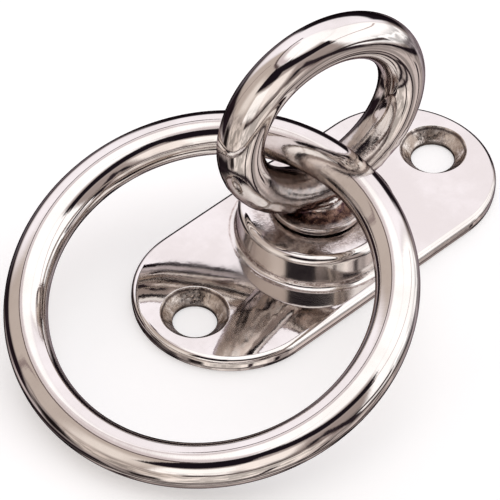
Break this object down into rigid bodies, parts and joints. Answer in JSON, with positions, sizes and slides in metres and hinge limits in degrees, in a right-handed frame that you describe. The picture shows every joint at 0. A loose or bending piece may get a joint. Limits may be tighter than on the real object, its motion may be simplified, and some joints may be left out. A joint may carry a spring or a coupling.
{
  "type": "pad eye",
  "caption": "Swivelling pad eye with a loose ring, screwed flat to a deck or bulkhead to hold a line, strap or hook.",
  "frame": {"origin": "on the swivel axis, at the mounting face that lies on the deck", "axes": "+Z away from the deck along the swivel axis, +X along the plate's long side through both screw holes, away from the side where the ring lies"},
  "size_m": [0.0807, 0.0553, 0.0402],
  "materials": {
    "polished_casting": "mirror-polished stainless casting",
    "polished_wire": "mirror-polished stainless wire",
    "plain_steel": "plain, as stamped"
  },
  "bodies": {
    "base": {"base_plate": "polished_casting"},
    "swivel": {"swivel_eye": "polished_casting", "retaining_washer": "plain_steel"},
    "ring": {"ring": "polished_wire"}
  },
  "joints": [
    {"name": "swivel_turn", "type": "hinge", "parent": "base", "child": "swivel", "pos_m": [0, 0, 0], "axis": [0, 0, 1], "continuous": true},
    {"name": "ring_swing", "type": "hinge", "parent": "swivel", "child": "ring", "pos_m": [-0.00177, 0.00034, 0.0183], "axis": [-0.225, 0.9744, 0], "range_deg": [0, 215.9]}
  ]
}
